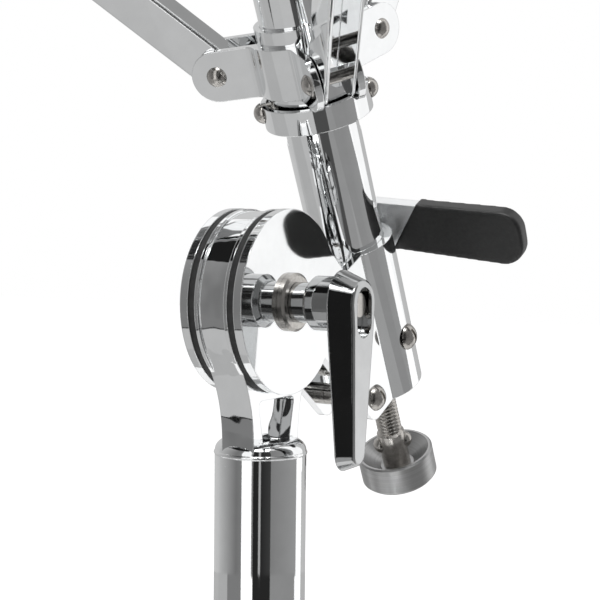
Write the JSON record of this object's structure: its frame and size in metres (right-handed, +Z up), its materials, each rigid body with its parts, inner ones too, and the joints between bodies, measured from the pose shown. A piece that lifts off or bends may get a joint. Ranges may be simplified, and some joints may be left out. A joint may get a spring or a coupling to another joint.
{
  "type": "snare drum stand",
  "caption": "Chrome snare drum stand with a folding tripod, a height tube, a lever-clamped tilter and a basket of hooked arms closed by a screw knob.",
  "frame": {"origin": "on the floor under the middle of the stand's outline", "axes": "+Z up along the column; +X along the tilter bolt towards its lever; -Y the side the basket leans to"},
  "size_m": [0.4656, 0.4186, 0.7204],
  "materials": {
    "chrome": "mirror chrome",
    "nickel": "dull nickel",
    "satin": "satin",
    "friction": "matt black",
    "nylon": "black nylon",
    "rubber": "satin black"
  },
  "bodies": {
    "base": {"base_tube": "chrome", "tube_end_cap": "rubber", "height_clamp": "chrome", "clamp_bush": "nylon", "lower_spider": "chrome", "brace_hinge_pins": "nickel"},
    "leg_slide": {"leg_hub": "chrome", "leg_hinge_pins": "nickel"},
    "hub_bolt": {"leg_hub_wing_bolt": "chrome"},
    "clamp_bolt": {"clamp_wing_bolt": "chrome"},
    "column": {"stem_tube": "chrome", "memory_collar": "chrome", "memory_collar_screw": "nickel", "tilter_stem": "chrome", "friction_rings": "friction"},
    "basket": {"basket_bracket": "chrome", "tilter_bolt": "nickel", "lever_washer": "chrome", "bracket_screw": "nickel", "bracket_spacer": "nickel", "basket_tube": "chrome", "adjuster_nut": "nickel", "adjuster_nut_screws": "nickel", "grip_bar": "chrome", "grip_sleeve": "rubber", "grip_bar_screw": "nickel", "top_hub": "chrome", "top_hub_rivets": "nickel"},
    "lever": {"tilt_lever": "chrome"},
    "carriage": {"slide_block": "nickel", "cross_pin": "nickel", "slide_collar": "chrome", "link_hub": "chrome", "link_rivets": "nickel"},
    "adjuster": {"adjuster_rod": "nickel", "adjuster_knob": "satin", "adjuster_pin": "nickel"},
    "leg_1": {"leg_1": "chrome", "foot_1": "rubber"},
    "brace_1": {"brace_1": "chrome"},
    "leg_2": {"leg_2": "chrome", "foot_2": "rubber"},
    "brace_2": {"brace_2": "chrome"},
    "leg_3": {"leg_3": "chrome", "foot_3": "rubber"},
    "brace_3": {"brace_3": "chrome"},
    "link_1": {"link_1": "chrome"},
    "arm_1": {"arm_1": "chrome", "arm_grip_1": "rubber"},
    "link_2": {"link_2": "chrome"},
    "arm_2": {"arm_2": "chrome", "arm_grip_2": "rubber"},
    "link_3": {"link_3": "chrome"},
    "arm_3": {"arm_3": "chrome", "arm_grip_3": "rubber"}
  },
  "joints": [
    {"name": "leg_hub_slide", "type": "slide", "parent": "base", "child": "leg_slide", "axis": [0, 0, 1], "range_m": [0, 0.0728]},
    {"name": "hub_bolt_turn", "type": "hinge", "parent": "leg_slide", "child": "hub_bolt", "pos_m": [0, -0.08411, 0.18746], "axis": [0, -1, 0], "range_deg": [-180, 180]},
    {"name": "clamp_bolt_turn", "type": "hinge", "parent": "base", "child": "clamp_bolt", "pos_m": [0.027, -0.05412, 0.321], "axis": [0, 1, 0], "range_deg": [-180, 180]},
    {"name": "leg_1_fold", "type": "hinge", "parent": "leg_slide", "child": "leg_1", "pos_m": [0, -0.02712, 0.18746], "axis": [1, 0, 0], "range_deg": [-46.76, 0]},
    {"name": "brace_1_fold", "type": "hinge", "parent": "base", "child": "brace_1", "pos_m": [0, -0.03011, 0.073], "axis": [1, 0, 0], "range_deg": [0, 46.21]},
    {"name": "leg_2_fold", "type": "hinge", "parent": "leg_slide", "child": "leg_2", "pos_m": [-0.02338, -0.06761, 0.18746], "axis": [-0.5, 0.866, 0], "range_deg": [-46.76, 0]},
    {"name": "brace_2_fold", "type": "hinge", "parent": "base", "child": "brace_2", "pos_m": [-0.02079, -0.06611, 0.073], "axis": [-0.5, 0.866, 0], "range_deg": [0, 46.21]},
    {"name": "leg_3_fold", "type": "hinge", "parent": "leg_slide", "child": "leg_3", "pos_m": [0.02338, -0.06761, 0.18746], "axis": [-0.5, -0.866, 0], "range_deg": [-46.76, 0]},
    {"name": "brace_3_fold", "type": "hinge", "parent": "base", "child": "brace_3", "pos_m": [0.02079, -0.06611, 0.073], "axis": [-0.5, -0.866, 0], "range_deg": [0, 46.21]},
    {"name": "height_slide", "type": "slide", "parent": "base", "child": "column", "axis": [0, 0, 1], "range_m": [0, 0.09]},
    {"name": "tilt", "type": "hinge", "parent": "column", "child": "basket", "pos_m": [0, -0.05412, 0.47], "axis": [1, 0, 0], "range_deg": [-33, 40]},
    {"name": "lever_turn", "type": "hinge", "parent": "basket", "child": "lever", "pos_m": [0, -0.05412, 0.47], "axis": [1, 0, 0], "range_deg": [-90, 90]},
    {"name": "carriage_slide", "type": "slide", "parent": "basket", "child": "carriage", "axis": [0, -0.4415, 0.8973], "range_m": [-0.008, 0.01]},
    {"name": "knob_turn", "type": "hinge", "parent": "carriage", "child": "adjuster", "pos_m": [0, -0.00853, 0.49243], "axis": [0, -0.4415, 0.8973], "range_deg": [-2324, 2900]},
    {"name": "link_1_swing", "type": "hinge", "parent": "carriage", "child": "link_1", "pos_m": [0.00703, -0.00928, 0.54946], "axis": [0.9613, -0.2473, -0.1217], "range_deg": [-0.2104, 0.2505]},
    {"name": "arm_1_swing", "type": "hinge", "parent": "basket", "child": "arm_1", "pos_m": [0.00662, -0.04122, 0.6111], "axis": [0.9613, -0.2473, -0.1217], "range_deg": [-7.41, 9.25]},
    {"name": "link_2_swing", "type": "hinge", "parent": "carriage", "child": "link_2", "pos_m": [-0.02474, -0.03681, 0.53591], "axis": [-0.2419, 0.8706, 0.4284], "range_deg": [-0.2104, 0.2505]},
    {"name": "arm_2_swing", "type": "hinge", "parent": "basket", "child": "arm_2", "pos_m": [-0.02329, -0.06713, 0.59835], "axis": [-0.2419, 0.8706, 0.4284], "range_deg": [-7.41, 9.25]},
    {"name": "link_3_swing", "type": "hinge", "parent": "carriage", "child": "link_3", "pos_m": [0.01771, -0.04773, 0.53054], "axis": [-0.7193, -0.6233, -0.3067], "range_deg": [-0.2104, 0.2505]},
    {"name": "arm_3_swing", "type": "hinge", "parent": "basket", "child": "arm_3", "pos_m": [0.01667, -0.07741, 0.59329], "axis": [-0.7193, -0.6233, -0.3067], "range_deg": [-7.41, 9.25]}
  ],
  "couplings": [
    {"joint": "leg_1_fold", "follows": "leg_hub_slide", "rad_per_m": -11.207},
    {"joint": "brace_1_fold", "follows": "leg_hub_slide", "rad_per_m": 11.075},
    {"joint": "leg_2_fold", "follows": "leg_hub_slide", "rad_per_m": -11.207},
    {"joint": "brace_2_fold", "follows": "leg_hub_slide", "rad_per_m": 11.075},
    {"joint": "leg_3_fold", "follows": "leg_hub_slide", "rad_per_m": -11.207},
    {"joint": "brace_3_fold", "follows": "leg_hub_slide", "rad_per_m": 11.075},
    {"joint": "knob_turn", "follows": "carriage_slide", "rad_per_m": 5026.5},
    {"joint": "link_1_swing", "follows": "carriage_slide", "rad_per_m": 0.35},
    {"joint": "arm_1_swing", "follows": "carriage_slide", "rad_per_m": 16.05},
    {"joint": "link_2_swing", "follows": "carriage_slide", "rad_per_m": 0.35},
    {"joint": "arm_2_swing", "follows": "carriage_slide", "rad_per_m": 16.05},
    {"joint": "link_3_swing", "follows": "carriage_slide", "rad_per_m": 0.35},
    {"joint": "arm_3_swing", "follows": "carriage_slide", "rad_per_m": 16.05}
  ]
}
